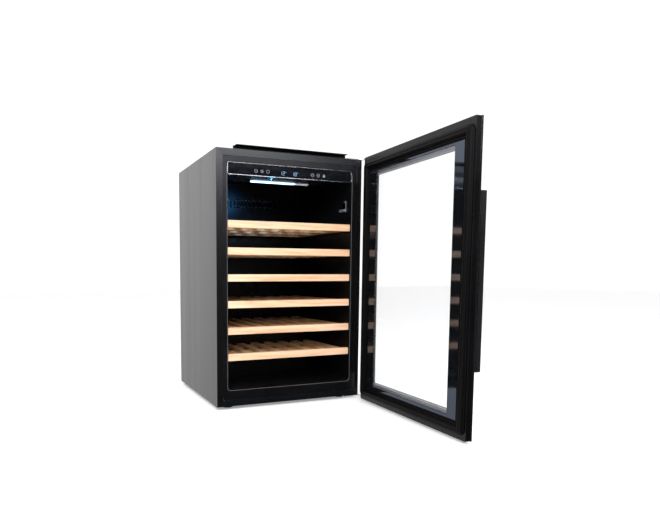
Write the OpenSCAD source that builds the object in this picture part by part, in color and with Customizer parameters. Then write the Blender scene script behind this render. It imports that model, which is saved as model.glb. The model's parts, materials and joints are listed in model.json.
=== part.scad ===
/* [Cabinet] */
// Width of the cabinet
cab_w = 538; // [530:1:560]
// Depth of the cabinet without its door
cab_d = 482; // [480:1:520]
// Height of the cabinet without its feet
cab_h = 838; // [836:1:860]
// Thickness of the insulated side walls
wall = 37; // [35:1:40]
// Clearance under the cabinet with the feet screwed right in
foot_gap = 12; // [10:1:16]

/* [Door] */
// Angle at which the door stands open
door_angle = 87.5; // [0:0.5:105]
// Thickness of the glass unit and of the frame around it
slab_t = 21; // [20:1:24]
// Gap between the closed door's frame and the cabinet, which the gasket fills
door_gap = 10; // [9:0.5:12]
// How far the door hangs below the cabinet
door_drop = 5; // [2:1:6]
// Length of the handle bar
handle_l = 480; // [300:10:600]

/* [Shelves] */
// Height of the top shelf's upper edge above the cabinet's bottom
shelf_top = 612.4; // [608:0.2:616]
// Distance from one shelf to the next
shelf_pitch = 87.6; // [86:0.2:88]
// Height of a shelf's wooden front
front_h = 23.6; // [22:0.2:26]
// How far a shelf is pulled out, for a look at the slides
shelf_out = 0; // [0:10:160]

/* [Controls] */
// Height of the control panel's glass
panel_h = 39.5; // [36:0.5:44]
// Length of the lamp under the control panel
lamp_l = 220; // [160:10:300]

/* [Hidden] */
$fn = 48;

// cabinet shell: x across, y from front to back, z up from the floor
hw = cab_w / 2;
yf = -cab_d / 2;
yb = cab_d / 2;
zb = foot_gap;
zt = foot_gap + cab_h;
sheet = 1;
flange = 22.5;
mitre_gap = 0.3;
base_t = 1.5;

// cavity
cav_hw = hw - wall;
cav_zb = zb + 53;
cav_zt = zt - 41;
cav_back = yb - 50;
cav_r = 12;
cav_top_r = 4;
skin = 2;
lip = 15;
comp_y = yb - 160;
comp_h = 200;
step_y = comp_y - 30;
step_z = zb + comp_h + 30;

// control panel, behind the cabinet's front plane
panel_zt = zt - 41.5;
panel_zb = panel_zt - panel_h;
panel_hw = cav_hw - 2;
housing_back = yf + 122;
lamp_y = yf + 104;

// shelves
front_hw = cav_hw - 3.3;
front_t = 18;
front_y = yf + 4;
rack_hw = cav_hw - 2.5;
rail_t = 1.5;
rail_reach = 10;
side_bar_w = 14;
bar_h = 12;
bar_drop = 10;
slat_n = 8;
slat_w = 28;
slat_t = 8;
slat_drop = 2;
evap_y = cav_back - 30;
long_rack = evap_y - 10 - front_y - front_t;
short_rack = step_y - 6 - front_y - front_t;
rail_clear = 0.4;

// fans
evap_fan_r = 42;
evap_fan_z = zb + 400;
cond_fan_r = 52;
blade_n = 7;
blade_tilt = 32;

// door, drawn closed and then turned about the hinge pin
pin_out = 8;
pin_fwd = 30;
pin_r = 4;
pin_clear = 0.05;
pin_x = hw + pin_out;
pin_y = yf - pin_fwd;
door_zb = zb - door_drop;
door_zt = zt - 0.6;
door_h = door_zt - door_zb;
door_in = yf - door_gap;
door_out = door_in - slab_t;
pane_t = 5;
inner_pane_t = 4;
frame_w = 34;
gasket_t = door_gap - 0.5;
gasket_w = 33;
gasket_side = 5;
gasket_top = 18;
gasket_bottom = 14;
gasket_r = 18;
glass_side = 60;
glass_top = 67;
spacer_w = 10;

// handle
handle_u = 20;
handle_w = 12;
handle_d = 17;
handle_off = 20;
post_r = 5;
post_in = 60;
handle_zm = zb + 416;

// levelling feet
foot_in = 52;
foot_r = 19;
stud_r = 4;

// machine compartment
comp_x = -130;
comp_mid = comp_y + 82;
cond_x = 90;

// cabinet screws: where each head rests, and the way its shank points
screw_r = 2;
screw_l = 9;
cover_x = hw - 8;
rail_screws = [-180, 0, 180];
plate_screws = [hw - 45, hw - 23];
screw_sites = concat(
    [for (x = rail_screws) [[x, yf + 25, zt + 2], [180, 0, 0]]],
    [for (x = plate_screws) [[x, yf + 22, zt + 3], [180, 0, 0]]],
    [for (x = plate_screws) [[x, yf + 22, zb - 3], [0, 0, 0]]],
    [for (x = [-cover_x, cover_x], z = [zb + 30, zb + 170]) [[x, yb + 0.8, z], [90, 0, 0]]]
);

// ---------------------------------------------------------------- helpers

// rounded rectangle with its lower left corner at the origin
module rrect(w, h, r) {
    translate([r, 0]) square([w - 2 * r, h]);
    translate([0, r]) square([w, h - 2 * r]);
    for (x = [r, w - r], y = [r, h - r]) translate([x, y]) circle(r);
}

// upright plate: a 2D shape in x and z, from y0 to y1
module upright(y0, y1) {
    translate([0, y1, 0]) rotate([90, 0, 0]) linear_extrude(y1 - y0) children();
}

// rounded prism along y between two corners
module rbox_y(x0, x1, y0, y1, z0, z1, r) {
    upright(y0, y1) translate([x0, z0]) rrect(x1 - x0, z1 - z0, r);
}

// box between two corners
module bar(x0, x1, y0, y1, z0, z1) {
    translate([x0, y0, z0]) cube([x1 - x0, y1 - y0, z1 - z0]);
}

// cylinder along y
module rod_y(x, z, y0, y1, r) {
    translate([x, y1, z]) rotate([90, 0, 0]) cylinder(r = r, h = y1 - y0);
}

// cylinder along x
module rod_x(y, z, x0, x1, r) {
    translate([x0, y, z]) rotate([0, 90, 0]) cylinder(r = r, h = x1 - x0);
}

// pan-head screw along +z from its head's underside, head below
module pan_screw(head_r, head_h, shank_r, shank_l) {
    cylinder(r = shank_r, h = shank_l);
    translate([0, 0, -head_h]) cylinder(r1 = head_r * 0.8, r2 = head_r, h = head_h);
}

// holes for every cabinet screw's shank
module screw_holes() {
    for (s = screw_sites) translate(s[0]) rotate(s[1])
        cylinder(r = screw_r + pin_clear, h = screw_l + 1);
}

// moves a closed door's piece to the angle at which the door stands
module on_door() {
    translate([pin_x, pin_y, 0])
        rotate([0, 0, door_angle])
            translate([-pin_x, -pin_y, 0])
                children();
}

// fan wheel with curved-back blades about y, hub at the origin
module fan_wheel(r, hub_r, depth) {
    rotate([90, 0, 0]) translate([0, 0, -depth / 2]) {
        difference() {
            cylinder(r = hub_r, h = depth);
            translate([0, 0, -1]) cylinder(r = 2.05, h = depth * 0.7);
        }
        for (i = [0:blade_n - 1]) rotate([0, 0, i * 360 / blade_n])
            translate([hub_r - 1, 0, depth / 2])
                rotate([blade_tilt, 0, 0])
                    translate([0, -r * 0.22, -0.75])
                        cube([r - hub_r, r * 0.44, 1.5]);
    }
}

// square fan frame with a round duct and a motor held on three spokes
module fan_frame(r, depth, motor_r, shaft_l) {
    side = 2 * r + 12;
    rotate([90, 0, 0]) translate([0, 0, -depth / 2]) {
        difference() {
            translate([-side / 2, -side / 2, 0]) cube([side, side, depth]);
            translate([0, 0, -1]) cylinder(r = r + 2, h = depth + 2);
        }
        cylinder(r = motor_r, h = 4);
        cylinder(r = 2, h = shaft_l);
        for (a = [90, 210, 330]) rotate([0, 0, a])
            translate([motor_r - 1, -3, 0]) cube([r + 4 - motor_r, 6, 3]);
    }
}

// ---------------------------------------------------------------- cabinet shell

// one side: sheet with a mitred front flange and a narrow rear flange
module side_panel() {
    g = mitre_gap;
    bar(-hw, -hw + sheet, yf, yb, zb, zt);
    upright(yf, yf + sheet) polygon([
        [-hw, zb], [-hw + flange, zb + flange + g],
        [-hw + flange, zt - flange - g], [-hw, zt]]);
    bar(-hw + flange - sheet, -hw + flange, yf, yf + 8, zb + flange + g, zt - flange - g);
    bar(-hw, -hw + 14, yb - sheet, yb, zb + 2, zt - 2);
}

module left_side_panel() {
    color("dimgray") difference() {
        side_panel();
        screw_holes();
    }
}

module right_side_panel() {
    color("dimgray") difference() {
        mirror([1, 0, 0]) side_panel();
        screw_holes();
    }
}

// top sheet with a mitred front flange
module top_panel() {
    x1 = hw - sheet - 0.05;
    g = mitre_gap;
    color("slategray") difference() {
        union() {
            bar(-x1, x1, yf, yb - sheet - 0.05, zt - sheet, zt);
            upright(yf, yf + sheet) polygon([
                [-x1, zt], [-x1, zt - sheet], [-hw + flange + g, zt - flange],
                [hw - flange - g, zt - flange], [x1, zt - sheet], [x1, zt]]);
            bar(-hw + flange + g, hw - flange - g, yf, yf + 8, zt - flange, zt - flange + sheet);
        }
        screw_holes();
    }
}

// floor sheet with its front flange and four threaded sockets for the feet
module base_plate() {
    x1 = hw - sheet - 0.05;
    g = mitre_gap;
    color("dimgray") difference() {
        union() {
            bar(-x1, x1, yf, yb - sheet - 0.05, zb, zb + base_t);
            upright(yf, yf + sheet) polygon([
                [-x1, zb], [-x1, zb + sheet], [-hw + flange + g, zb + flange],
                [hw - flange - g, zb + flange], [x1, zb + sheet], [x1, zb]]);
            at_feet() cylinder(r = 9, h = 34);
        }
        at_feet() translate([0, 0, -1]) cylinder(r = stud_r + pin_clear, h = 33);
        screw_holes();
    }
}

// places children at the four feet, on the base plate's underside
module at_feet() {
    for (sx = [-1, 1], sy = [-1, 1])
        translate([sx * (hw - foot_in), sy * (-yf - foot_in), zb]) children();
}

module rear_panel() {
    color("gray") bar(-hw + 14.2, hw - 14.2, yb - sheet, yb, zb + comp_h, zt - sheet - 0.1);
}

// moulded foam between the shell and the liner
module insulation_foam() {
    c = 0.3;
    color("khaki") difference() {
        bar(-hw + sheet + c, hw - sheet - c, yf + 9, yb - sheet - c, zb + base_t + c, zt - sheet - c);
        difference() {
            bar(-cav_hw - skin - c, cav_hw + skin + c, yf, cav_back + skin + c,
                cav_zb - skin - c, cav_zt + skin + c);
            bar(-hw, hw, step_y + skin + c, yb, 0, step_z - skin - c);
        }
        bar(-hw, hw, comp_y, yb + 1, zb, zb + comp_h);
        at_feet() cylinder(r = 9.3, h = 35);
        screw_holes();
    }
}

// the air inside the cavity
module cavity() {
    difference() {
        union() {
            rbox_y(-cav_hw, cav_hw, yf - 1, cav_back, cav_zb, cav_zt, cav_r);
            rbox_y(-cav_hw, cav_hw, yf - 1, cav_back, panel_zb - 20, cav_zt, cav_top_r);
        }
        bar(-hw, hw, step_y, yb, 0, step_z);
    }
}

// vacuum-formed lining with its flange around the opening
module inner_liner() {
    flange_x = cav_hw + lip - 1;
    color("black") difference() {
        union() {
            difference() {
                union() {
                    rbox_y(-cav_hw - skin, cav_hw + skin, yf + 1, cav_back + skin,
                        cav_zb - skin, cav_zt + skin, cav_r + skin);
                    rbox_y(-cav_hw - skin, cav_hw + skin, yf + 1, cav_back + skin,
                        panel_zb - 20, cav_zt + skin, cav_top_r + skin);
                }
                bar(-hw, hw, step_y + skin, yb, 0, step_z - skin);
            }
            upright(yf + 0.6, yf + 2.6)
                translate([-flange_x, zb + flange + 0.5])
                    rrect(2 * flange_x, cab_h - 2 * flange - 1, 8);
        }
        cavity();
    }
}

// ---------------------------------------------------------------- cavity fittings

// z of the upper edge of shelf i
function shelf_z(i) = zb + shelf_top - (i - 1) * shelf_pitch;

// length of shelf i's rack behind its front
function rack_l(i) = i == 6 ? short_rack : long_rack;

// C-shaped guides screwed to both side walls, one pair for each shelf
module shelf_runners() {
    color("black") for (i = [1:6], s = [-1, 1]) {
        z1 = shelf_z(i) - bar_drop + rail_clear;
        z0 = z1 - bar_h - 2 * rail_clear;
        y1 = front_y + front_t + rack_l(i);
        x_in = s > 0 ? cav_hw - rail_t : -cav_hw;
        bar(x_in, x_in + rail_t, yf + 30, y1, z0 - rail_t, z1 + rail_t);
        for (z = [z0 - rail_t, z1]) {
            x0 = s > 0 ? cav_hw - rail_reach : -cav_hw;
            bar(x0, x0 + rail_reach, yf + 30, y1, z, z + rail_t);
        }
    }
}

// wall in front of the evaporator, with an intake grille and a fan outlet
module evaporator_cover() {
    z0 = step_z + 0.3;
    z1 = cav_zt - 0.3;
    color("black") difference() {
        rbox_y(-cav_hw + 0.3, cav_hw - 0.3, evap_y - 3, evap_y, z0, z1, cav_top_r);
        for (i = [-7:7], z = [z1 - 94, z0 + 24])
            bar(i * 16 - 4, i * 16 + 4, evap_y - 4, evap_y + 1, z, z + 36);
        for (i = [-4:4]) let (h = sqrt(evap_fan_r * evap_fan_r - 81 * i * i))
            bar(i * 9 - 2.5, i * 9 + 2.5, evap_y - 4, evap_y + 1, evap_fan_z - h, evap_fan_z + h);
    }
}

// serpentine tube of the evaporator, flat against the cavity's rear wall
module evaporator_coil() {
    rows = 9;
    pitch = 26;
    r = 4;
    x1 = 150;
    y = cav_back - 7;
    z0 = cav_zt - 60;
    color("silver") {
        for (i = [0:rows - 1]) rod_x(y, z0 - i * pitch, -x1, x1, r);
        for (i = [0:rows - 2]) let (s = i % 2 == 0 ? 1 : -1)
            translate([s * x1, y, z0 - (i + 0.5) * pitch])
                rotate([90, 0, 0]) rotate([0, 0, s > 0 ? -90 : 90])
                    rotate_extrude(angle = 180) translate([pitch / 2, 0]) circle(r, $fn = 24);
    }
}

module evaporator_fan_frame() {
    color("dimgray") translate([0, evap_y + 13, evap_fan_z])
        rotate([0, 0, 180]) fan_frame(evap_fan_r, 24, 14, 13);
}

module evaporator_fan_blade() {
    color("black") translate([0, evap_y + 13, evap_fan_z]) rotate([0, 0, 180])
        fan_wheel(evap_fan_r, 12, 12);
}

// ---------------------------------------------------------------- controls

// moulded box under the ceiling that holds the board and the lamp
module control_housing() {
    color([0.07, 0.07, 0.08]) difference() {
        rbox_y(-panel_hw, panel_hw, yf + 6, housing_back, panel_zb + 1, panel_zt, 3);
        bar(-panel_hw + 3, panel_hw - 3, yf + 9, housing_back - 3, panel_zb + 4, panel_zt - 3);
        bar(-lamp_l / 2 - 0.1, lamp_l / 2 + 0.1, lamp_y - 6.1, lamp_y + 6.1, panel_zb, panel_zb + 5);
        bar(-60, 45, yf + 5, yf + 10, panel_zb + 8, panel_zt - 12);
    }
}

module control_glass() {
    color([0.02, 0.02, 0.03]) rbox_y(-panel_hw + 1.6, panel_hw - 1.6, yf + 2.6, yf + 5.95,
        panel_zb + 1.6, panel_zt - 1.6, 5);
}

// bright frame around the control glass
module control_trim() {
    color("silver") upright(yf + 1.8, yf + 5.95) difference() {
        translate([-panel_hw, panel_zb]) rrect(2 * panel_hw, panel_h, 6.5);
        translate([-panel_hw + 1.5, panel_zb + 1.5]) rrect(2 * panel_hw - 3, panel_h - 3, 5);
    }
}

module display_window() {
    color("lightskyblue") rbox_y(-53, 32, yf + 2.2, yf + 2.58, panel_zt - 33, panel_zt - 17, 2);
}

// six round touch symbols printed on the glass, three on each side of the display
module touch_icons() {
    color("white") for (x = [-131, -110, -89, 76, 98, 120])
        upright(yf + 2.2, yf + 2.58) translate([x, panel_zt - 23]) difference() {
            circle(6);
            circle(4.8);
        }
}

module control_board() {
    color("darkgreen") bar(-90, 90, yf + 12, yf + 13.6, panel_zb + 8, panel_zt - 8);
}

module lamp_lens() {
    color("white") rbox_y(-lamp_l / 2, lamp_l / 2, lamp_y - 6, lamp_y + 6,
        panel_zb - 1.9, panel_zb + 5, 2);
}

module lamp_board() {
    color("white") bar(-lamp_l / 2, lamp_l / 2, lamp_y - 5, lamp_y + 5,
        panel_zb + 5.4, panel_zb + 6.6);
}

// cover of the temperature sensor on the right wall: a plate with a raised foot
module sensor_cover() {
    y0 = yf + 37;
    z0 = zb + 660;
    color("silver") {
        bar(cav_hw - 3, cav_hw - 0.1, y0, y0 + 38, z0, z0 + 12);
        bar(cav_hw - 3, cav_hw - 0.1, y0, y0 + 12, z0, z0 + 39);
        bar(cav_hw - 9, cav_hw - 3, y0 + 2, y0 + 36, z0 + 2, z0 + 10);
    }
}

// ---------------------------------------------------------------- outside fittings

rail_hw = 208;
rail_hole_r = 2.5;
rail_pitch = 340;

// Z-section rail on the roof: fixed behind, with a raised lip that juts out in front
module top_fixing_rail() {
    color("black") difference() {
        union() {
            bar(-rail_hw, rail_hw, yf + 10, yf + 36, zt, zt + 2);
            bar(-rail_hw, rail_hw, yf + 10, yf + 12, zt, zt + 12);
            bar(-rail_hw + 4, rail_hw - 4, yf - 12, yf + 12, zt + 10.5, zt + 12);
        }
        for (s = [-1, 1]) translate([s * rail_pitch / 2, yf + 1, zt + 9])
            cylinder(r = rail_hole_r, h = 5);
        screw_holes();
    }
}

module cabinet_screws() {
    color("gainsboro") for (s = screw_sites)
        translate(s[0]) rotate(s[1]) pan_screw(4, 2.4, screw_r, screw_l);
}

// steel plate that carries a hinge pin out past the door's end
module hinge_plate_outline() {
    difference() {
        union() {
            polygon([
                [hw - 58, yf + 2], [hw - 58, yf + 40], [hw - 14, yf + 40],
                [pin_x + 6, yf - 4], [pin_x + 6, pin_y], [pin_x - 6, pin_y],
                [pin_x - 6, yf - 6], [hw - 8, yf + 2]]);
            translate([pin_x, pin_y]) circle(6);
        }
        for (x = plate_screws) translate([x, yf + 22]) circle(screw_r + pin_clear);
    }
}

module hinge_plate_top() {
    color("silver") {
        translate([0, 0, zt]) linear_extrude(3) hinge_plate_outline();
        translate([pin_x, pin_y, zt - 18]) cylinder(r = pin_r, h = 19);
    }
}

module hinge_plate_bottom() {
    color("silver") {
        translate([0, 0, zb - 3]) linear_extrude(3) hinge_plate_outline();
        translate([pin_x, pin_y, zb - 1]) cylinder(r = pin_r, h = 19);
    }
}

// one levelling foot: pad, hexagon and threaded stud
module foot(i) {
    sx = i % 2 == 1 ? -1 : 1;
    sy = i <= 2 ? -1 : 1;
    color("black") translate([sx * (hw - foot_in), sy * (-yf - foot_in), 0]) {
        cylinder(r = foot_r, h = 5);
        translate([0, 0, 5]) cylinder(r1 = foot_r, r2 = foot_r - 4, h = 2);
        translate([0, 0, 7]) cylinder(r = 11, h = foot_gap - 7.1, $fn = 6);
        cylinder(r = stud_r, h = foot_gap + 26);
    }
}

// ---------------------------------------------------------------- machine compartment

comp_r = 62;
comp_z = zb + 28;
comp_tall = 150;

// welded steel pot with a base rim and three stub pipes
module compressor() {
    color([0.05, 0.05, 0.05]) translate([comp_x, comp_mid, comp_z]) {
        cylinder(r = comp_r, h = comp_tall - 40);
        translate([0, 0, comp_tall - 40]) intersection() {
            sphere(comp_r);
            cylinder(r = comp_r, h = 40);
        }
        translate([0, 0, 52]) cylinder(r = comp_r + 3, h = 6);
        translate([-75, -55, -6]) cube([150, 110, 4]);
        translate([-45, -45, -3]) cube([90, 90, 5]);
    }
}

module compressor_mounts() {
    color("black") for (sx = [-1, 1], sy = [-1, 1])
        translate([comp_x + sx * 64, comp_mid + sy * 44, zb + base_t + 0.1])
            cylinder(r = 9, h = comp_z - 6 - zb - base_t - 0.2);
}

module terminal_box() {
    color("black") bar(comp_x - 22, comp_x + 22, comp_mid - comp_r - 17, comp_mid - comp_r - 3.2,
        comp_z + 30, comp_z + 85);
}

// serpentine of the condenser with its side plates
module condenser_coil() {
    rows = 6;
    pitch = 24;
    r = 3;
    w = 110;
    color("black") for (s = [-1, 1]) bar(cond_x + s * (w / 2 - 3) - 0.5, cond_x + s * (w / 2 - 3) + 0.5,
        comp_y + 36, comp_y + 74, zb + base_t + 0.1, zb + 150);
    color("black") for (k = [0:1]) translate([cond_x, comp_y + 42 + k * 26, zb + 22]) {
        for (i = [0:rows - 1]) rod_x(0, i * pitch, -w / 2, w / 2, r);
        for (i = [0:rows - 2]) let (s = i % 2 == 0 ? 1 : -1)
            translate([s * w / 2, 0, (i + 0.5) * pitch])
                rotate([90, 0, 0]) rotate([0, 0, s > 0 ? -90 : 90])
                    rotate_extrude(angle = 180) translate([pitch / 2, 0]) circle(r, $fn = 24);
    }
}

cond_fan_y = comp_y + 108;
cond_fan_z = zb + base_t + cond_fan_r + 6.1;

module condenser_fan_frame() {
    color("dimgray") translate([cond_x, cond_fan_y, cond_fan_z])
        fan_frame(cond_fan_r, 26, 16, 16);
}

module condenser_fan_blade() {
    color("black") translate([cond_x, cond_fan_y - 2, cond_fan_z])
        fan_wheel(cond_fan_r, 14, 12);
}

// open tray on the compressor's dome that catches the defrost water
module drip_tray() {
    z0 = comp_z + comp_tall + 0.1;
    color("black") translate([comp_x, comp_mid, z0]) difference() {
        translate([-55, -45, 0]) cube([110, 90, 10]);
        translate([-53, -43, 2]) cube([106, 86, 10]);
    }
}

// copper lines between compressor, condenser and evaporator, with the filter drier
module refrigerant_pipes() {
    y = comp_y + 18;
    z0 = zb + 60;
    color("chocolate") {
        rod_x(y, z0, comp_x + 30, cond_x - 20, 3);
        rod_x(y, z0 + 90, comp_x + 40, cond_x + 60, 3);
        translate([cond_x + 60, y, z0 + 40]) cylinder(r = 3, h = 50);
        translate([cond_x + 60, y, z0 + 20]) cylinder(r = 9, h = 62);
        translate([comp_x + 40, y, z0 + 40]) cylinder(r = 3, h = 50);
    }
}

inlet_x = 200;
inlet_z = zb + 118;
inlet_w = 27.2;
inlet_h = 19.8;
plate_x = inlet_x - 40;

// appliance inlet for a mains lead, in the rear cover
module power_inlet() {
    color([0.03, 0.03, 0.03]) difference() {
        union() {
            bar(inlet_x - inlet_w / 2 - 4, inlet_x + inlet_w / 2 + 4, yb + 0.85, yb + 3.4,
                inlet_z - inlet_h / 2 - 4, inlet_z + inlet_h / 2 + 4);
            bar(inlet_x - inlet_w / 2 - 1.5, inlet_x + inlet_w / 2 + 1.5, yb - 22, yb + 1,
                inlet_z - inlet_h / 2 - 1.5, inlet_z + inlet_h / 2 + 1.5);
        }
        bar(inlet_x - inlet_w / 2, inlet_x + inlet_w / 2, yb - 20, yb + 5,
            inlet_z - inlet_h / 2, inlet_z + inlet_h / 2);
    }
}

// slotted sheet over the machine compartment
module rear_cover() {
    y0 = yb - 0.2;
    color("dimgray") difference() {
        bar(-hw + 2, plate_x - 0.2, y0 + 0.25, y0 + 1, zb + 2, zb + comp_h - 3);
        for (r = [0:9], x = [-160, -60, cond_x + 22])
            bar(x - 42, x + 42, y0 - 1, y0 + 2, zb + 28 + r * 14, zb + 33 + r * 14);
        screw_holes();
    }
}

// plate beside the cover that holds the power inlet
module inlet_plate() {
    y0 = yb - 0.2;
    color("dimgray") difference() {
        bar(plate_x + 0.2, hw - 2, y0 + 0.25, y0 + 1, zb + 2, zb + comp_h - 3);
        bar(inlet_x - inlet_w / 2 - 1.7, inlet_x + inlet_w / 2 + 1.7, y0 - 1, y0 + 2,
            inlet_z - inlet_h / 2 - 1.7, inlet_z + inlet_h / 2 + 1.7);
        screw_holes();
    }
}

// ---------------------------------------------------------------- door

module door_outer_glass() {
    color([0.1, 0.1, 0.11, 0.5]) on_door()
        difference() {
            rbox_y(-hw, hw, door_out, door_out + pane_t, door_zb, door_zt, 3);
            at_posts(door_out - 1, door_out + pane_t + 1, screw_r + pin_clear);
        }
}

// frame behind the outer pane, around the inner one
module door_frame() {
    color([0.2, 0.2, 0.21]) on_door() difference() {
        upright(door_out + pane_t + 0.05, door_in) difference() {
            translate([-hw + 0.4, door_zb + 0.4]) rrect(cab_w - 0.8, door_h - 0.8, 3);
            translate([-hw + frame_w, door_zb + frame_w + 8])
                square([cab_w - 2 * frame_w, door_h - 2 * frame_w - 16]);
        }
        at_posts(door_out, door_in + 1, screw_r + pin_clear);
        at_posts(door_out + pane_t + screw_seat, door_in + 1, 5);
    }
}

// hollow bar that keeps the two panes apart
module door_spacer() {
    color("silver") on_door() upright(door_out + pane_t + 0.1, door_in - inner_pane_t - 0.1) difference() {
        translate([-hw + glass_side - spacer_w, door_zb + glass_top - spacer_w])
            square([cab_w - 2 * (glass_side - spacer_w), door_h - 2 * (glass_top - spacer_w)]);
        translate([-hw + glass_side, door_zb + glass_top])
            square([cab_w - 2 * glass_side, door_h - 2 * glass_top]);
    }
}

module door_inner_glass() {
    color([0.1, 0.1, 0.11, 0.5]) on_door()
        bar(-hw + frame_w + 0.3, hw - frame_w - 0.3, door_in - inner_pane_t, door_in - 0.05,
            door_zb + frame_w + 8.3, door_zt - frame_w - 8.3);
}

// magnetic seal with rounded corners on the frame's inner face
module door_gasket() {
    x0 = -hw + gasket_side;
    z0 = door_zb + gasket_bottom;
    w = cab_w - 2 * gasket_side;
    h = door_h - gasket_bottom - gasket_top;
    color([0.08, 0.08, 0.09]) on_door() {
        upright(door_in + 0.05, door_in + gasket_t * 0.45) difference() {
            translate([x0, z0]) rrect(w, h, gasket_r);
            translate([x0 + gasket_w, z0 + gasket_w])
                square([w - 2 * gasket_w, h - 2 * gasket_w]);
        }
        upright(door_in + 0.05, door_in + gasket_t) difference() {
            translate([x0 + 3, z0 + 3]) rrect(w - 6, h - 6, gasket_r - 3);
            translate([x0 + gasket_w - 9, z0 + gasket_w - 9])
                square([w - 2 * gasket_w + 18, h - 2 * gasket_w + 18]);
        }
    }
}

post_x = -hw + handle_u + handle_w / 2;
post_z = [handle_zm - handle_l / 2 + post_in, handle_zm + handle_l / 2 - post_in];
screw_seat = 6;

// a rod along y at each of the handle's two posts
module at_posts(y0, y1, r) {
    for (z = post_z) rod_y(post_x, z, y0, y1, r);
}

// straight bar on two posts, outside the free edge
module handle() {
    x0 = -hw + handle_u;
    y1 = door_out - handle_off;
    z0 = handle_zm - handle_l / 2;
    color([0.16, 0.16, 0.18]) on_door() {
        bar(x0, x0 + handle_w, y1 - handle_d, y1, z0, z0 + handle_l);
        difference() {
            at_posts(y1 - 1, door_out - 0.05, post_r);
            at_posts(door_out - 12, door_out, screw_r + pin_clear);
        }
    }
}

// screws from inside the frame, through the outer pane and into the handle's posts
module handle_screws() {
    color("gainsboro") on_door() for (z = post_z)
        translate([post_x, door_out + pane_t + screw_seat, z]) rotate([90, 0, 0])
            pan_screw(4, 2.4, screw_r, pane_t + screw_seat + 10);
}

// two angle pieces on the door's end, each with an eye for a hinge pin
module hinge_arms() {
    color("silver") on_door() for (top = [0, 1]) {
        z_eye = top ? zt - 14 : zb + 8;
        z_leg = top ? zt - 74 : zb + 8;
        difference() {
            union() {
                bar(hw + 0.1, hw + 2.1, door_out + 2, door_in - 2, z_leg, z_leg + 68);
                bar(hw + 0.1, pin_x, pin_y - 5.5, pin_y + 6.5, z_eye, z_eye + 8);
                translate([pin_x, pin_y, z_eye]) cylinder(r = 6.5, h = 8);
            }
            translate([pin_x, pin_y, z_eye - 1]) cylinder(r = pin_r + pin_clear, h = 10);
        }
    }
}

// ---------------------------------------------------------------- shelves

module shelf_front(i) {
    z1 = shelf_z(i);
    color("burlywood") translate([0, -shelf_out, 0])
        bar(-front_hw, front_hw, front_y, front_y + front_t, z1 - front_h, z1);
}

// wooden rack behind the front: two side bars, cross bars and slats on top
module shelf_rack(i) {
    z1 = shelf_z(i);
    y0 = front_y + front_t + 0.05;
    y1 = y0 + rack_l(i) - 2;
    zb1 = z1 - bar_drop;
    bars = i == 6 ? 3 : 4;
    span = y1 - y0 - 16;
    x1 = rack_hw - side_bar_w - 1;
    color("peru") translate([0, -shelf_out, 0]) {
        for (s = [-1, 1]) bar(min(s * rack_hw, s * (rack_hw - side_bar_w)),
            max(s * rack_hw, s * (rack_hw - side_bar_w)), y0, y1, zb1 - bar_h, zb1);
        for (k = [0:bars - 1]) let (y = y0 + k * span / (bars - 1))
            bar(-rack_hw + side_bar_w + 0.05, rack_hw - side_bar_w - 0.05, y, y + 16,
                zb1 - bar_h, zb1);
        for (k = [0:slat_n - 1]) let (x = -x1 + k * (2 * x1 - slat_w) / (slat_n - 1))
            bar(x, x + slat_w, y0, y1, zb1 + 0.05, zb1 + slat_t);
    }
}

// ---------------------------------------------------------------- assembly

left_side_panel();
right_side_panel();
top_panel();
rear_panel();
base_plate();
insulation_foam();
inner_liner();
shelf_runners();
evaporator_cover();
evaporator_coil();
evaporator_fan_frame();
evaporator_fan_blade();
control_housing();
control_glass();
control_trim();
display_window();
touch_icons();
control_board();
lamp_lens();
lamp_board();
sensor_cover();
top_fixing_rail();
cabinet_screws();
hinge_plate_top();
hinge_plate_bottom();
compressor();
compressor_mounts();
terminal_box();
condenser_coil();
condenser_fan_frame();
condenser_fan_blade();
drip_tray();
refrigerant_pipes();
power_inlet();
rear_cover();
inlet_plate();
for (i = [1:4]) foot(i);
door_outer_glass();
door_frame();
door_spacer();
door_inner_glass();
door_gasket();
handle();
handle_screws();
hinge_arms();
for (i = [1:6]) shelf_front(i);
for (i = [1:6]) shelf_rack(i);
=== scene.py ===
import json
import math

import bmesh
import bpy
from mathutils import Matrix, Vector


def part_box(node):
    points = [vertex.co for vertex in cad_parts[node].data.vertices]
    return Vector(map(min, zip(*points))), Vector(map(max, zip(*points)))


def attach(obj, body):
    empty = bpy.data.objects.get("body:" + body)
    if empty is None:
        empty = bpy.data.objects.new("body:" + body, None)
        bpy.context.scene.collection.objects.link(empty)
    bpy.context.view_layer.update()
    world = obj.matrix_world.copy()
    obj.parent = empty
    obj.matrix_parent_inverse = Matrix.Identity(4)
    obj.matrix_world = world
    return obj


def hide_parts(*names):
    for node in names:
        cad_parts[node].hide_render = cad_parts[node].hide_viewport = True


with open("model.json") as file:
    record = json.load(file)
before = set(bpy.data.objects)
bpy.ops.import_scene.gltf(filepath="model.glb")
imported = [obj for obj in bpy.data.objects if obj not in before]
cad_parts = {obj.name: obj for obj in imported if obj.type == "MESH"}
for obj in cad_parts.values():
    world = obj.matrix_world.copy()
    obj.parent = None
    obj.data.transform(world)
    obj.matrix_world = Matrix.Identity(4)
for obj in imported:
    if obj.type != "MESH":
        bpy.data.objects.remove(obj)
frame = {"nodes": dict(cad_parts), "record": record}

MM = 0.001
EDGE_ANGLE = math.radians(35)  # edges sharper than this are rounded
FLAT_ANGLE = math.radians(0.4)  # facets closer than this are one face
WELD = 0.002 * MM  # points nearer than this are one point
WHITE = (1, 1, 1)
NODES = frame["nodes"]
BODY_OF = {n: b for b, names in frame["record"]["behaviour"]["bodies"].items() for n in names}
SLOT_OF = {s["node"]: s["material_slot"] for s in frame["record"]["subparts"]}
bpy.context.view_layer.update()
scene = bpy.context.scene

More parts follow.
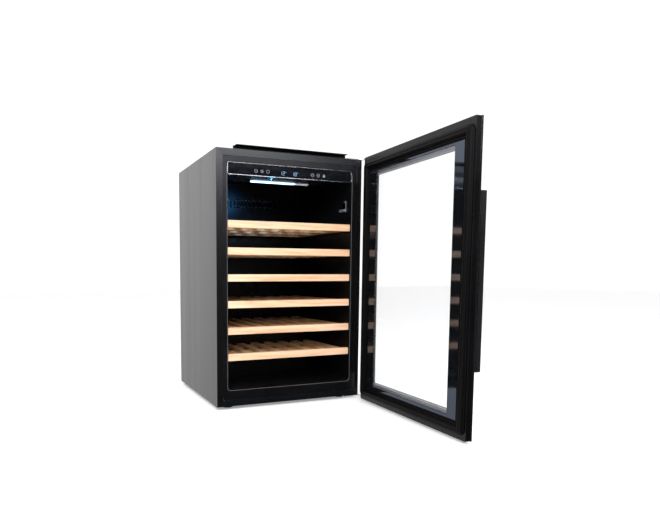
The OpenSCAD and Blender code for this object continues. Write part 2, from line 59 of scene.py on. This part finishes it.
HINGE = next(j for j in frame["record"]["behaviour"]["joints"] if j["name"] == "door_hinge")
PIN = Vector(HINGE["pos_m"])
OPEN_ANGLE = math.radians(-HINGE["range_deg"][0])
# Carries a point of the closed door to where it stands with the door open.
ON_DOOR = (Matrix.Translation(PIN) @ Matrix.Rotation(OPEN_ANGLE, 4, "Z")
           @ Matrix.Translation(-PIN))


# ---------------------------------------------------------------- shader helpers

def shader(name, color, rough, metal=0.0, **extra):
    """A new material with a Principled shader; returns the material, its tree and the shader."""
    mat = bpy.data.materials.new(name)
    mat.use_nodes = True
    tree = mat.node_tree
    bsdf = tree.nodes["Principled BSDF"]
    bsdf.inputs["Base Color"].default_value = (*color, 1)
    bsdf.inputs["Roughness"].default_value = rough
    bsdf.inputs["Metallic"].default_value = metal
    for key, value in extra.items():
        bsdf.inputs[key.replace("_", " ")].default_value = value
    return mat, tree, bsdf


def add(tree, kind, settings=None, **inputs):
    """A new shader node; each input takes a value or another node's output."""
    made = tree.nodes.new(kind)
    for key, value in (settings or {}).items():
        setattr(made, key, value)
    for key, value in inputs.items():
        socket = made.inputs[key.replace("_", " ")]
        if isinstance(value, bpy.types.NodeSocket):
            tree.links.new(value, socket)
        else:
            socket.default_value = value
    return made


def place(tree, scale=(1, 1, 1)):
    """Object coordinates, stretched by scale."""
    at = tree.nodes.new("ShaderNodeTexCoord").outputs["Object"]
    return add(tree, "ShaderNodeMapping", Vector=at, Scale=scale).outputs["Vector"]


def noise(tree, vector, scale, detail, rough=0.5, distortion=0.0):
    return add(tree, "ShaderNodeTexNoise", Vector=vector, Scale=scale, Detail=detail,
               Roughness=rough, Distortion=distortion).outputs["Fac"]


def remap(tree, value, low, high, start=0.3, end=0.7, interpolation="LINEAR"):
    """Low where value is at start, high where it is at end."""
    return add(tree, "ShaderNodeMapRange", {"interpolation_type": interpolation}, Value=value,
               From_Min=start, From_Max=end, To_Min=low, To_Max=high).outputs["Result"]


def product(tree, a, b):
    made = add(tree, "ShaderNodeMath", {"operation": "MULTIPLY"})
    tree.links.new(a, made.inputs[0])
    tree.links.new(b, made.inputs[1])
    return made.outputs["Value"]


def ramp(tree, fac, stops):
    """A colour that runs through the stops, each a position and a colour."""
    made = add(tree, "ShaderNodeValToRGB", Fac=fac)
    elements = made.color_ramp.elements
    while len(elements) < len(stops):
        elements.new(0.5)
    for element, (position, color) in zip(elements, stops):
        element.position = position
        element.color = (*color, 1)
    return made.outputs["Color"]


def bump(tree, bsdf, height, strength, distance):
    made = add(tree, "ShaderNodeBump", Height=height, Strength=strength, Distance=distance)
    tree.links.new(made.outputs["Normal"], bsdf.inputs["Normal"])


def feed(tree, bsdf, **values):
    for key, value in values.items():
        tree.links.new(value, bsdf.inputs[key.replace("_", " ")])


def multiply(tree, a, b, amount):
    """Colour a darkened by colour b, by the amount given."""
    made = tree.nodes.new("ShaderNodeMixRGB")
    made.blend_type = "MULTIPLY"
    made.inputs["Fac"].default_value = amount
    tree.links.new(a, made.inputs["Color1"])
    tree.links.new(b, made.inputs["Color2"])
    return made.outputs["Color"]


def shade(color, factor):
    return tuple(min(1.0, c * factor) for c in color)


# ---------------------------------------------------------------- materials

def paint(name, color, rough, grain=1100, depth=0.12, spec=0.5, streak=(1, 1, 1)):
    """Satin coat with a fine orange-peel surface and slight unevenness in its sheen."""
    mat, tree, bsdf = shader(name, color, rough, Specular_IOR_Level=spec)
    at = place(tree)
    broad = noise(tree, place(tree, streak), 5, 2)
    fine = noise(tree, at, grain, 2)
    feed(tree, bsdf,
         Base_Color=ramp(tree, broad, [(0.3, shade(color, 0.9)), (0.7, shade(color, 1.12))]),
         Roughness=remap(tree, broad, rough - 0.03, rough + 0.04))
    bump(tree, bsdf, fine, depth, 0.0002)
    return mat


def plastic(name, color, rough, grain=1500, depth=0.2, spec=0.5):
    """Moulded plastic with a spark-eroded grain."""
    mat, tree, bsdf = shader(name, color, rough, Specular_IOR_Level=spec)
    at = place(tree)
    cells = add(tree, "ShaderNodeTexVoronoi", Vector=at, Scale=grain).outputs["Distance"]
    broad = noise(tree, at, 9, 3)
    feed(tree, bsdf,
         Base_Color=ramp(tree, broad, [(0.25, shade(color, 0.85)), (0.75, shade(color, 1.15))]),
         Roughness=remap(tree, broad, rough - 0.05, rough + 0.06))
    bump(tree, bsdf, cells, depth, 0.0001)
    return mat


def metal(name, color, rough, stretch=(1, 1, 60)):
    """Drawn or brushed metal: fine lines along one direction."""
    mat, tree, bsdf = shader(name, color, rough, 1.0)
    lines = noise(tree, place(tree, stretch), 90, 4)
    blotch = noise(tree, place(tree), 35, 2)
    feed(tree, bsdf,
         Base_Color=ramp(tree, blotch, [(0.3, shade(color, 0.86)), (0.7, shade(color, 1.06))]),
         Roughness=remap(tree, lines, rough - 0.06, rough + 0.1))
    bump(tree, bsdf, lines, 0.12, 0.0001)
    return mat


def wood(name, light, mid, dark, along, rough=0.42):
    """Planed hardwood: long grain, darker pores and a broad change of tone between boards."""
    mat, tree, bsdf = shader(name, mid, rough, Coat_Weight=0.25, Coat_Roughness=0.25)
    long_way = {"X": (1.6, 22, 22), "Y": (22, 1.6, 22)}[along]
    pore_way = {"X": (9, 420, 420), "Y": (420, 9, 420)}[along]
    figure = noise(tree, place(tree, long_way), 2.2, 5, 0.6, 0.8)
    rays = noise(tree, place(tree, pore_way), 1.0, 2)
    board = noise(tree, place(tree, (1.5, 1.5, 11)), 1.3, 1)
    color = ramp(tree, figure, [(0.3, dark), (0.45, mid), (0.62, light), (0.8, mid)])
    pores = ramp(tree, rays, [(0.32, shade(dark, 0.8)), (0.46, WHITE)])
    boards = ramp(tree, board, [(0.3, (0.9, 0.86, 0.8)), (0.7, WHITE)])
    color = multiply(tree, multiply(tree, color, pores, 0.35), boards, 0.8)
    feed(tree, bsdf, Base_Color=color,
         Roughness=remap(tree, rays, rough + 0.12, rough - 0.04))
    bump(tree, bsdf, rays, 0.25, 0.0002)
    return mat


def gloss(name, color, rough=0.04, **extra):
    """Back-painted glass: deep gloss with faint wiping marks."""
    mat, tree, bsdf = shader(name, color, rough, **extra)
    smear = noise(tree, place(tree, (3, 3, 9)), 7, 4)
    feed(tree, bsdf, Roughness=remap(tree, smear, rough, rough + 0.05),
         Base_Color=ramp(tree, smear, [(0.3, color), (0.7, shade(color, 1.5))]))
    return mat


def clear_glass(name, tint):
    """Thin, almost clear glass with a faint film on it."""
    mat, tree, bsdf = shader(name, tint, 0.0, IOR=1.45, Alpha=0.06)
    film = noise(tree, place(tree, (2, 2, 5)), 4, 3)
    feed(tree, bsdf, Roughness=remap(tree, film, 0.0, 0.03))
    return mat


def lamp(name, bright_to, dim_from, bright=4.0, dim=0.12):
    """Frosted lens over a row of diodes: bright on the left, fading at its right end."""
    mat, tree, bsdf = shader(name, (0.85, 0.9, 0.95), 0.35)
    at = tree.nodes.new("ShaderNodeTexCoord").outputs["Object"]
    x = add(tree, "ShaderNodeSeparateXYZ", Vector=at).outputs["X"]
    fade = remap(tree, x, bright, dim, bright_to, dim_from, "SMOOTHSTEP")
    dots = add(tree, "ShaderNodeTexWave", {"bands_direction": "X"}, Vector=at,
               Scale=14.0).outputs["Fac"]
    bsdf.inputs["Emission Color"].default_value = (0.45, 0.75, 1.0, 1)
    feed(tree, bsdf, Emission_Strength=product(tree, fade, remap(tree, dots, 0.8, 1.0, 0.0, 1.0)))
    return mat


def glow(name, color, strength):
    """A print or display that shines faintly and a little unevenly."""
    mat, tree, bsdf = shader(name, shade(color, 0.6), 0.3)
    soft = noise(tree, place(tree), 400, 2)
    bsdf.inputs["Emission Color"].default_value = (*color, 1)
    feed(tree, bsdf, Emission_Strength=remap(tree, soft, strength * 0.8, strength * 1.1))
    return mat


NEAR_BLACK = (0.006, 0.006, 0.0066)
LOOKS = {
    "side_steel": paint("side_paint", (0.0035, 0.0035, 0.004), 0.25, spec=0.6,
                        streak=(1, 5, 0.15)),
    "top_steel": paint("top_paint", (0.0035, 0.0045, 0.006), 0.26),
    "rear_steel": paint("rear_paint", (0.05, 0.05, 0.053), 0.45, 700, 0.3),
    "foam": plastic("foam", (0.72, 0.6, 0.34), 0.9, 300, 0.8),
    "liner_plastic": plastic("liner", (0.003, 0.003, 0.0037), 0.32, 1300, 0.2, spec=0.35),
    "aluminium_tube": metal("coil_aluminium", (0.75, 0.76, 0.77), 0.35),
    "fan_plastic": plastic("fan_plastic", (0.02, 0.02, 0.021), 0.45),
    "control_plastic": plastic("control_plastic", NEAR_BLACK, 0.25, 1600, 0.1),
    "control_glass": gloss("control_glass", (0.003, 0.0035, 0.0045)),
    "bright_trim": metal("bright_trim", (0.62, 0.64, 0.67), 0.2, (60, 1, 1)),
    "display": gloss("display_window", (0.002, 0.004, 0.007)),
    "print_white": glow("print_white", (0.34, 0.36, 0.42), 0.07),
    "circuit_board": plastic("circuit_board", (0.02, 0.16, 0.07), 0.4, 900, 0.4),
    "lamp_diffuser": lamp("lamp_diffuser", 0.045, 0.062),
    "sensor_plastic": plastic("sensor_plastic", (0.15, 0.16, 0.18), 0.45),
    "black_steel": paint("black_paint", (0.005, 0.005, 0.0055), 0.5, 900, 0.3, spec=0.25),
    "zinc_steel": metal("zinc", (0.6, 0.61, 0.63), 0.34),
    "rubber": plastic("rubber", (0.015, 0.015, 0.015), 0.75, 800, 0.4),
    "copper": metal("copper", (0.8, 0.42, 0.28), 0.28, (60, 1, 1)),
    "foot_plastic": plastic("foot_nylon", (0.012, 0.012, 0.013), 0.5),
    "tinted_glass": clear_glass("pane_glass", (0.6, 0.62, 0.64)),
    "door_frame_paint": plastic("door_frame", (0.0025, 0.0025, 0.0028), 0.28, 1300, 0.15,
                                spec=0.28),
    "spacer_aluminium": metal("spacer_aluminium", (0.2, 0.21, 0.23), 0.34, (1, 60, 1)),
    "gasket_rubber": plastic("gasket", (0.002, 0.002, 0.0022), 0.42, 700, 0.15,
                             spec=0.08),
    "handle_paint": paint("handle_paint", (0.009, 0.009, 0.010), 0.3, spec=0.8),
    "front_wood": wood("front_wood", (0.88, 0.61, 0.41), (0.82, 0.52, 0.32),
                       (0.64, 0.37, 0.2), "X"),
    "rack_wood": wood("rack_wood", (0.62, 0.4, 0.22), (0.5, 0.29, 0.14),
                      (0.33, 0.17, 0.07), "Y", 0.5),
}
# The printed border of the panes; the inner pane's coating reflects more, and bluer.
FRIT_BLACK = (0.0035, 0.0038, 0.0045)
FRIT = gloss("black_border", FRIT_BLACK, 0.03)
COATED_FRIT = gloss("coated_border", FRIT_BLACK, 0.03, IOR=1.9,
                    Specular_Tint=(0.58, 0.72, 1.0, 1.0))

for name, obj in NODES.items():
    obj.data.materials.clear()
    obj.data.materials.append(LOOKS[SLOT_OF[name]])


# ---------------------------------------------------------------- mesh helpers

def finish_piece(obj, node):
    """Hands a finished piece to its body and lets it stand for its CAD node."""
    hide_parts(node)
    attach(obj, BODY_OF[node])


def new_object(name, bm, *mats, smooth=True):
    """The mesh of bm as an object in the scene, with its materials."""
    mesh = bpy.data.meshes.new(name)
    bm.to_mesh(mesh)
    bm.free()
    for mat in mats:
        mesh.materials.append(mat)
    obj = bpy.data.objects.new(name, mesh)
    scene.collection.objects.link(obj)
    if smooth:
        mesh.shade_smooth()
    return obj


def soften(obj, width, segments=2):
    """Rounds the piece's sharp edges and keeps its flats flat."""
    bevel = obj.modifiers.new("edges", "BEVEL")
    bevel.width = width
    bevel.segments = segments
    bevel.limit_method = "ANGLE"
    bevel.angle_limit = EDGE_ANGLE
    flats = obj.modifiers.new("flats", "WEIGHTED_NORMAL")
    flats.weight = 100
    flats.keep_sharp = True


def refine(node, width, segments=2):
    """The CAD node's shape again, with rounded edges."""
    bm = bmesh.new()
    bm.from_mesh(NODES[node].data)
    bmesh.ops.remove_doubles(bm, verts=bm.verts, dist=WELD)
    bmesh.ops.dissolve_limit(bm, angle_limit=FLAT_ANGLE, verts=bm.verts, edges=bm.edges)
    for face in bm.faces:
        face.material_index = 0
    obj = new_object(node + "_finish", bm, LOOKS[SLOT_OF[node]])
    soften(obj, width, segments)
    finish_piece(obj, node)


def closed_box(node):
    """Lowest and highest corner of a door node with the door closed."""
    back = ON_DOOR.inverted()
    points = [back @ v.co for v in NODES[node].data.vertices]
    low = Vector([min(p[i] for p in points) for i in range(3)])
    high = Vector([max(p[i] for p in points) for i in range(3)])
    return low, high


def rounded_loop(x0, x1, z0, z1, r, steps=8):
    """Corner-rounded rectangle in x and z, the same number of points for any radius."""
    least_radius = 0.4 * MM
    r = max(r, least_radius)
    points = []
    for cx, cz, start in ((x1 - r, z1 - r, 0), (x0 + r, z1 - r, 90),
                          (x0 + r, z0 + r, 180), (x1 - r, z0 + r, 270)):
        for k in range(steps + 1):
            a = math.radians(start + 90 * k / steps)
            points.append((cx + r * math.cos(a), cz + r * math.sin(a)))
    return points


# ---------------------------------------------------------------- cabinet

# Node, radius of its edges in millimetres, and how many facets the rounding has.
for node, radius, facets in (
        ("left_side_panel", 0.35, 2), ("right_side_panel", 0.35, 2), ("top_panel", 0.35, 2),
        ("base_plate", 0.35, 2), ("inner_liner", 0.7, 3), ("top_fixing_rail", 0.5, 2),
        ("control_housing", 0.8, 2), ("control_glass", 0.5, 2), ("display_window", 0.1, 2),
        ("control_trim", 0.35, 2), ("sensor_cover", 1.0, 3), ("lamp_lens", 0.8, 2),
        ("hinge_plate_top", 0.5, 2), ("hinge_plate_bottom", 0.5, 2), ("hinge_arms", 0.5, 2),
        ("shelf_runners", 0.3, 2), ("power_inlet", 0.5, 2), ("evaporator_cover", 0.5, 2)):
    refine(node, radius * MM, facets)


def opening_bead():
    """Thin bead where the liner meets the front, at the opening's sides and foot; its light grey
    is partly its own colour and partly a painted highlight along the opening's rim.
    """
    beside_shelf, above_floor, corner = 3.3 * MM, 53 * MM, 12 * MM
    across, outward, behind_front, facets = 0.7 * MM, 0.75 * MM, 0.8 * MM, 10
    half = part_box("shelf_front_1")[1].x + beside_shelf
    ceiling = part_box("control_trim")[1].z
    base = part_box("base_plate")[0].z + above_floor
    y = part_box("left_side_panel")[0].y + behind_front
    arc = 9  # points in one rounded corner
    bm = bmesh.new()
    rings = []
    for k in range(facets):
        a = 2 * math.pi * k / facets
        inset, dy = across * math.cos(a), outward * math.sin(a)
        loop = rounded_loop(-half + inset, half - inset, base + inset, ceiling, corner, arc - 1)
        path = loop[2 * arc - 1:] + loop[:1]  # the left side, the foot and the right side
        rings.append([bm.verts.new((x, y + dy, z)) for x, z in path])
    for a, b in zip(rings, rings[1:] + rings[:1]):
        for k in range(len(a) - 1):
            bm.faces.new((a[k], a[k + 1], b[k + 1], b[k]))
    for end in (0, -1):
        bm.faces.new([ring[end] for ring in rings])
    bmesh.ops.recalc_face_normals(bm, faces=bm.faces)
    # Light grey: partly the bead's own colour, partly a painted highlight of the rim.
    bead = new_object("opening_bead", bm, paint("bead_grey_and_painted_highlight", (0.12, 0.12, 0.125), 0.3))
    bead.data.set_sharp_from_angle(angle=math.radians(50))
    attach(bead, "cabinet")


opening_bead()


# ---------------------------------------------------------------- shelves

for i in range(1, 7):
    refine(f"shelf_front_{i}", 2.0 * MM, 3)
    refine(f"shelf_rack_{i}", 1.2 * MM)


# ---------------------------------------------------------------- door

refine("door_frame", 0.8 * MM)
refine("door_spacer", 0.4 * MM)
refine("handle", 1.0 * MM, 3)


def pane(node, see_low, see_high, border):
    """A slab of glass whose border is printed black and whose middle is clear."""
    low, high = closed_box(node)
    xs = (low.x, see_low.x, see_high.x, high.x)
    zs = (low.z, see_low.z, see_high.z, high.z)
    bm = bmesh.new()
    grid = {}
    for side, y in ((0, low.y), (1, high.y)):
        for i, x in enumerate(xs):
            for k, z in enumerate(zs):
                grid[side, i, k] = bm.verts.new(ON_DOOR @ Vector((x, y, z)))
    for i in range(3):
        for k in range(3):
            for side in (0, 1):
                corners = [grid[side, i, k], grid[side, i + 1, k],
                           grid[side, i + 1, k + 1], grid[side, i, k + 1]]
                face = bm.faces.new(corners if side == 0 else corners[::-1])
                face.material_index = 1 if (i, k) == (1, 1) else 0
    for i in range(3):
        for k, flip in ((0, False), (3, True)):
            ring = [grid[1, i, k], grid[1, i + 1, k], grid[0, i + 1, k], grid[0, i, k]]
            bm.faces.new(ring[::-1] if flip else ring)
            ring = [grid[0, k, i], grid[0, k, i + 1], grid[1, k, i + 1], grid[1, k, i]]
            bm.faces.new(ring[::-1] if flip else ring)
    bmesh.ops.recalc_face_normals(bm, faces=bm.faces)
    obj = new_object(node + "_finish", bm, border, LOOKS["tinted_glass"])
    soften(obj, 0.8 * MM)
    finish_piece(obj, node)


SPACER_WIDTH = 10 * MM
SIDE_BORDER = 18.5 * MM  # how far the inner pane's print reaches past the spacer at its sides
spacer_low, spacer_high = closed_box("door_spacer")
inside = Vector((SPACER_WIDTH, 0, SPACER_WIDTH))
pane("door_outer_glass", spacer_low + inside, spacer_high - inside, FRIT)
side = Vector((SPACER_WIDTH + SIDE_BORDER, 0, 0))
pane("door_inner_glass", spacer_low + side, spacer_high - side, COATED_FRIT)


def gasket():
    """Magnetic seal: a ribbed section carried round the frame with rounded outer corners."""
    low, high = closed_box("door_gasket")
    radius = 18 * MM
    # Distance in from the outer edge, and height over the frame, in millimetres.
    section = [(0, 0.2), (0, 2.6), (0.8, 3.6), (3.2, 4.2), (4.4, 7.6), (6, 9.0), (8, 9.3),
               (11.6, 9.4), (12.6, 8.6), (13.6, 8.6), (14.6, 9.4), (19, 9.3), (21.5, 8.6),
               (23.2, 6.8), (24, 3.6), (25.4, 2.6), (27.2, 2.6), (28, 3.9), (29, 4.2),
               (30, 3.9), (30.6, 2.4), (31.4, 2.2), (32, 3.4), (32.6, 3.6), (33, 3.0), (33, 0.2)]
    bm = bmesh.new()
    rings = []
    for u, h in section:
        u, y = u * MM, low.y + h * MM
        loop = rounded_loop(low.x + u, high.x - u, low.z + u, high.z - u, radius - u)
        rings.append([bm.verts.new(ON_DOOR @ Vector((x, y, z))) for x, z in loop])
    count = len(rings[0])
    for a, b in zip(rings, rings[1:] + rings[:1]):
        for k in range(count):
            bm.faces.new((a[k], a[(k + 1) % count], b[(k + 1) % count], b[k]))
    bmesh.ops.recalc_face_normals(bm, faces=bm.faces)
    obj = new_object("door_gasket_finish", bm, LOOKS["gasket_rubber"])
    obj.data.set_sharp_from_angle(angle=math.radians(40))
    finish_piece(obj, "door_gasket")


gasket()


# ---------------------------------------------------------------- control panel symbols

def arc_band(bm, cx, cz, y, r, w, a0, a1, steps=20):
    """A flat band of width w round a centre, from angle a0 to a1 in degrees."""
    for k in range(steps):
        t0, t1 = (math.radians(a0 + (a1 - a0) * (k + j) / steps) for j in (0, 1))
        quad = [(r - w / 2, t0), (r + w / 2, t0), (r + w / 2, t1), (r - w / 2, t1)]
        bm.faces.new([bm.verts.new((cx + q * math.cos(t), y, cz + q * math.sin(t)))
                      for q, t in quad])


def stroke(bm, x0, z0, x1, z1, y, w):
    """A flat bar of width w from one point to another."""
    along = Vector((x1 - x0, z1 - z0)).normalized() * (w / 2)
    side = Vector((-along.y, along.x))
    bm.faces.new([bm.verts.new((x, y, z)) for x, z in (
        (x0 + side.x, z0 + side.y), (x1 + side.x, z1 + side.y),
        (x1 - side.x, z1 - side.y), (x0 - side.x, z0 - side.y))])


def thicken(obj, depth):
    solid = obj.modifiers.new("depth", "SOLIDIFY")
    solid.thickness = depth
    solid.offset = 0


def symbols():
    """Six touch symbols: power, light, scale on the left; up, down, lock on the right."""
    low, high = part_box("touch_icons")
    y = (low.y + high.y) / 2
    z = (low.z + high.z) / 2
    r, w = 5.2 * MM, 1.1 * MM
    thinner_than_cad = 0.05 * MM
    marks = [x * MM for x in (-131, -110, -89, 76, 98, 120)]
    bm = bmesh.new()
    arc_band(bm, marks[0], z, y, r, w, 115, 425)
    stroke(bm, marks[0], z + 1 * MM, marks[0], z + 6 * MM, y, w)
    arc_band(bm, marks[1], z, y, r * 0.55, w, 0, 360)
    for k in range(8):
        a = math.radians(45 * k)
        stroke(bm, marks[1] + 4 * MM * math.cos(a), z + 4 * MM * math.sin(a),
               marks[1] + 6 * MM * math.cos(a), z + 6 * MM * math.sin(a), y, w * 0.9)
    arc_band(bm, marks[2], z, y, r, w, 0, 360)
    for x, way in ((marks[3], 1), (marks[4], -1)):
        stroke(bm, x - 4.5 * MM, z - way * 2.5 * MM, x, z + way * 3 * MM, y, w)
        stroke(bm, x + 4.5 * MM, z - way * 2.5 * MM, x, z + way * 3 * MM, y, w)
        arc_band(bm, x, z, y, r * 1.1, w * 0.7, 0, 360)
    arc_band(bm, marks[5], z + 1.5 * MM, y, 2.4 * MM, w, 0, 180)
    for dz in (-4.5, -2.9, -1.3, 0.3):
        stroke(bm, marks[5] - 4 * MM, z + dz * MM, marks[5] + 4 * MM, z + dz * MM, y, 1.7 * MM)
    obj = new_object("touch_symbols", bm, LOOKS["print_white"], smooth=False)
    thicken(obj, high.y - low.y - thinner_than_cad)
    finish_piece(obj, "touch_icons")


def digits():
    """Two temperatures in seven-segment numerals on the display window."""
    low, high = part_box("display_window")
    depth, in_front = 0.03 * MM, 0.02 * MM
    y = low.y - in_front
    height, width, line = 11 * MM, 6.2 * MM, 1.3 * MM
    foot = (low.z + high.z) / 2 - height / 2
    start = low.x + 8 * MM
    lit = {"1": "bc", "2": "abged", "8": "abcdefg"}
    ends = {"a": (0, 1, 1, 1), "b": (1, 1, 1, 0.5), "c": (1, 0.5, 1, 0), "d": (0, 0, 1, 0),
            "e": (0, 0.5, 0, 0), "f": (0, 1, 0, 0.5), "g": (0, 0.5, 1, 0.5)}
    bm = bmesh.new()
    for shift, digit in ((0, "1"), (10, "2"), (44, "1"), (54, "8")):
        x = start + shift * MM
        for segment in lit[digit]:
            x0, z0, x1, z1 = ends[segment]
            stroke(bm, x + x0 * width, foot + z0 * height, x + x1 * width, foot + z1 * height,
                   y, line)
    for shift in (20.5, 64.5):
        arc_band(bm, start + shift * MM, foot + height - 1.5 * MM, y, 1.5 * MM, 0.7 * MM,
                 0, 360, 12)
    look = glow("digit_glow", (0.25, 0.42, 0.62), 0.26)
    obj = new_object("display_digits", bm, look, smooth=False)
    thicken(obj, depth)
    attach(obj, "cabinet")


symbols()
digits()


# ---------------------------------------------------------------- stage, light and camera

def softbox(name, at, aim, size, power, color):
    """A rectangular light at one point, turned to another."""
    data = bpy.data.lights.new(name, "AREA")
    data.shape = "RECTANGLE"
    data.size, data.size_y = size
    data.energy = power
    data.color = color
    obj = bpy.data.objects.new(name, data)
    scene.collection.objects.link(obj)
    obj.location = at
    obj.rotation_euler = (Vector(aim) - Vector(at)).to_track_quat("-Z", "Y").to_euler()
    obj.visible_camera = False


def floor():
    """Pale ground that lifts the shadows a little."""
    bm = bmesh.new()
    bmesh.ops.create_grid(bm, x_segments=1, y_segments=1, size=14)
    mat, tree, bsdf = shader("floor_white", (0.9, 0.9, 0.9), 0.8, Emission_Strength=0.3,
                             Emission_Color=(*WHITE, 1))
    grain = noise(tree, place(tree), 3, 2)
    feed(tree, bsdf,
         Base_Color=ramp(tree, grain, [(0.3, (0.88, 0.88, 0.88)), (0.7, (0.92, 0.92, 0.92))]))
    obj = new_object("floor", bm, mat)
    obj.visible_glossy = False


def surroundings():
    """White studio all round, with a dark flag in front and a slightly darker ground."""
    flag_way = (0.34, -0.94, 0)
    seen_directly = 1.1
    world = bpy.data.worlds.new("studio")
    scene.world = world
    world.use_nodes = True
    tree = world.node_tree
    back = tree.nodes["Background"]
    way = tree.nodes.new("ShaderNodeTexCoord").outputs["Generated"]
    dot = add(tree, "ShaderNodeVectorMath", {"operation": "DOT_PRODUCT"})
    tree.links.new(way, dot.inputs[0])
    dot.inputs[1].default_value = flag_way
    toward_flag = dot.outputs["Value"]
    height = add(tree, "ShaderNodeSeparateXYZ", Vector=way).outputs["Z"]
    flag = remap(tree, toward_flag, 1.0, 0.02, -0.1, 0.62, "SMOOTHSTEP")
    rear = remap(tree, toward_flag, 1.15, 0.95, -1.0, -0.6)
    ground = remap(tree, height, 0.72, 1.12, -0.3, 0.25)
    level = product(tree, product(tree, flag, ground), rear)
    camera_ray = tree.nodes.new("ShaderNodeLightPath").outputs["Is Camera Ray"]
    pick = add(tree, "ShaderNodeMix", {"data_type": "FLOAT"})
    tree.links.new(camera_ray, pick.inputs[0])
    tree.links.new(level, pick.inputs[2])
    pick.inputs[3].default_value = seen_directly
    tree.links.new(pick.outputs[0], back.inputs["Strength"])
    back.inputs["Color"].default_value = (*WHITE, 1)


def lights():
    """A small key at the left, a broad box high in front, and the lamp's own blue light."""
    softbox("key", (-1.2, -1.6, 1.3), (0, -0.2, 0.4), (0.5, 0.5), 18.5, (1, 0.98, 0.95))
    softbox("front_high", (0.2, -2.75, 2.3), (0, -0.2, 0.9), (2.6, 1.9), 100, (0.92, 0.93, 1.0))
    low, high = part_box("lamp_lens")
    under_lens = ((low.x + high.x) / 2 - 30 * MM, (low.y + high.y) / 2, low.z - 2 * MM)
    softbox("lamp_light", under_lens, (-0.2, -0.1, 0.4), (0.16, 0.01), 0.9, (0.07, 0.38, 1.0))


floor()
surroundings()
lights()

camera = bpy.data.objects.new("camera", bpy.data.cameras.new("camera"))
scene.collection.objects.link(camera)
camera.location = (-0.8005, -1.8984, 0.4512)
down, to_right = 0.089, 0.375  # the camera's angles, in radians
camera.rotation_euler = (math.pi / 2 - down, 0, -to_right)
camera.data.sensor_width = 36
camera.data.lens = 29.32
camera.data.shift_x = 0.119
camera.data.shift_y = 0.0905
scene.camera = camera
scene.view_settings.view_transform = "Standard"
